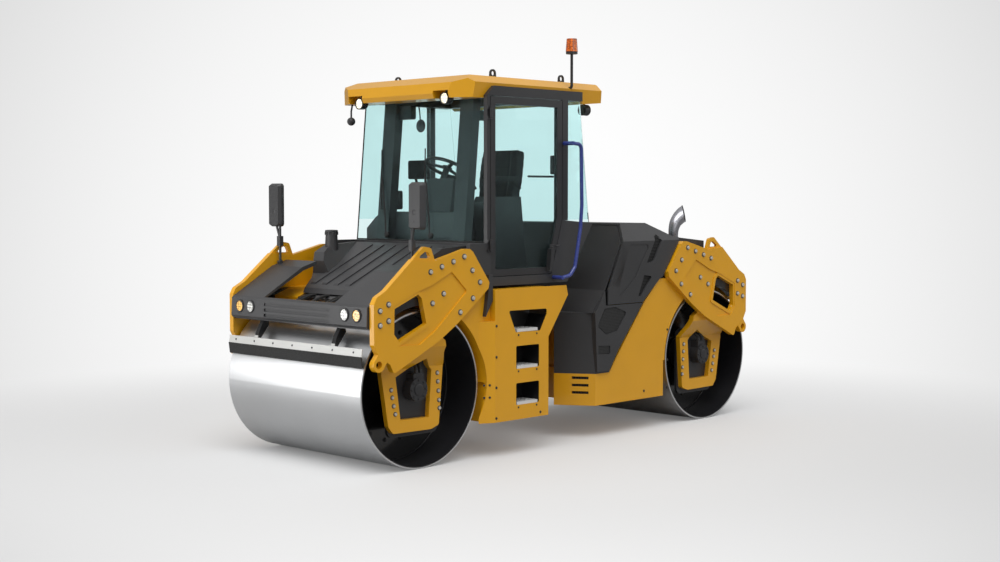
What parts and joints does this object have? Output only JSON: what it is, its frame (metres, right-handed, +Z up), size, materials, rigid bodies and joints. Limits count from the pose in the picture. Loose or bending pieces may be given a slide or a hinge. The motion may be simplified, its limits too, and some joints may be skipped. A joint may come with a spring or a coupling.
{
  "type": "articulated tandem road roller with cab",
  "caption": "Articulated tandem vibratory road roller with smooth steel drums on side yokes, a closed cab over the front frame and a tilting engine hood behind.",
  "frame": {"origin": "on the ground under the articulation pin, half-way between the two drums", "axes": "+X forward, towards the cab's end; +Y to the driver's left; +Z up"},
  "size_m": [4.9398, 1.936, 3.4802],
  "materials": {
    "machine_yellow": "satin paint",
    "frame_black": "satin black paint",
    "moulded_black": "moulded dark grey plastic, fine grain",
    "drum_steel": "rolled bare steel",
    "bright_steel": "zinc plated steel",
    "rail_blue": "semi-gloss blue paint",
    "strip_grey": "light grey paint",
    "rubber_black": "matt rubber",
    "cab_glass": "lightly tinted clear glass",
    "lamp_white": "clear lens",
    "lamp_amber": "amber lens",
    "beacon_orange": "orange lens",
    "seat_fabric": "dark woven cloth",
    "engine_iron": "painted casting",
    "exhaust_grey": "aluminised steel"
  },
  "bodies": {
    "front_frame": {"front_chassis": "machine_yellow", "front_yoke_left": "machine_yellow", "front_yoke_right": "machine_yellow", "front_drum_carriers": "frame_black", "side_panel_left": "machine_yellow", "side_panel_right": "machine_yellow", "ladder_steps": "bright_steel", "front_cover": "moulded_black", "front_light_bar": "moulded_black", "front_lamps_white": "lamp_white", "front_lamps_amber": "lamp_amber", "front_scraper_strip": "strip_grey", "front_scraper_blade": "rubber_black", "mirrors": "moulded_black", "cab_tub": "moulded_black", "cab_frame": "frame_black", "windscreen": "cab_glass", "rear_window": "cab_glass", "side_windows": "cab_glass", "cab_roof": "machine_yellow", "roof_lamps": "moulded_black", "roof_eyes": "machine_yellow", "beacon_pole": "frame_black", "beacon_lens": "beacon_orange", "handrail": "rail_blue", "door_hinges": "frame_black", "seat_base": "moulded_black", "seat_cushions": "seat_fabric", "steering_console": "moulded_black", "steering_wheel": "moulded_black"},
    "door_left": {"door_frame": "frame_black", "door_glass": "cab_glass"},
    "front_drum": {"front_drum_shell": "drum_steel", "front_drum_heads": "frame_black"},
    "knuckle": {"centre_joint": "machine_yellow"},
    "ram_barrel_left": {"steering_ram_barrel_left": "frame_black"},
    "ram_rod_left": {"steering_ram_rod_left": "bright_steel"},
    "ram_barrel_right": {"steering_ram_barrel_right": "frame_black"},
    "ram_rod_right": {"steering_ram_rod_right": "bright_steel"},
    "rear_frame": {"rear_chassis": "machine_yellow", "rear_yoke_left": "machine_yellow", "rear_yoke_right": "machine_yellow", "rear_drum_carriers": "frame_black", "rear_light_bar": "moulded_black", "rear_cover": "moulded_black", "rear_lamps": "lamp_amber", "rear_scraper_strip": "strip_grey", "rear_scraper_blade": "rubber_black", "engine_cowl": "moulded_black", "hood_hinges": "frame_black", "engine_block": "engine_iron", "exhaust_pipe": "exhaust_grey"},
    "hood": {"engine_hood": "moulded_black"},
    "rear_drum": {"rear_drum_shell": "drum_steel", "rear_drum_heads": "frame_black"}
  },
  "joints": [
    {"name": "steer", "type": "hinge", "parent": "front_frame", "child": "knuckle", "pos_m": [0, 0, 0.75], "axis": [0, 0, 1], "range_deg": [-30, 30]},
    {"name": "roll", "type": "hinge", "parent": "knuckle", "child": "rear_frame", "pos_m": [0, 0, 0.75], "axis": [1, 0, 0], "range_deg": [-6, 6]},
    {"name": "front_drum_spin", "type": "hinge", "parent": "front_frame", "child": "front_drum", "pos_m": [1.85, 0, 0.62], "axis": [0, 1, 0], "continuous": true},
    {"name": "rear_drum_spin", "type": "hinge", "parent": "rear_frame", "child": "rear_drum", "pos_m": [-1.85, 0, 0.62], "axis": [0, 1, 0], "continuous": true},
    {"name": "cab_door", "type": "hinge", "parent": "front_frame", "child": "door_left", "pos_m": [1.096, 0.868, 2.2], "axis": [0, 0, -1], "range_deg": [0, 80]},
    {"name": "hood_tilt", "type": "hinge", "parent": "rear_frame", "child": "hood", "pos_m": [-1.9, 0, 1.42], "axis": [0, -1, 0], "range_deg": [0, 30]},
    {"name": "ram_swing_left", "type": "hinge", "parent": "front_frame", "child": "ram_barrel_left", "pos_m": [0.45, 0.26, 0.765], "axis": [0, 0, 1], "range_deg": [-8, 8]},
    {"name": "ram_stroke_left", "type": "slide", "parent": "ram_barrel_left", "child": "ram_rod_left", "axis": [-0.996, -0.0898, 0], "range_m": [-0.12, 0.12]},
    {"name": "ram_swing_right", "type": "hinge", "parent": "front_frame", "child": "ram_barrel_right", "pos_m": [0.45, -0.26, 0.765], "axis": [0, 0, 1], "range_deg": [-8, 8]},
    {"name": "ram_stroke_right", "type": "slide", "parent": "ram_barrel_right", "child": "ram_rod_right", "axis": [-0.996, 0.0898, 0], "range_m": [-0.12, 0.12]}
  ],
  "couplings": [
    {"joint": "ram_swing_left", "follows": "steer", "ratio": 0.23},
    {"joint": "ram_stroke_left", "follows": "steer", "m_per_rad": 0.214},
    {"joint": "ram_swing_right", "follows": "steer", "ratio": 0.23},
    {"joint": "ram_stroke_right", "follows": "steer", "m_per_rad": -0.214}
  ]
}
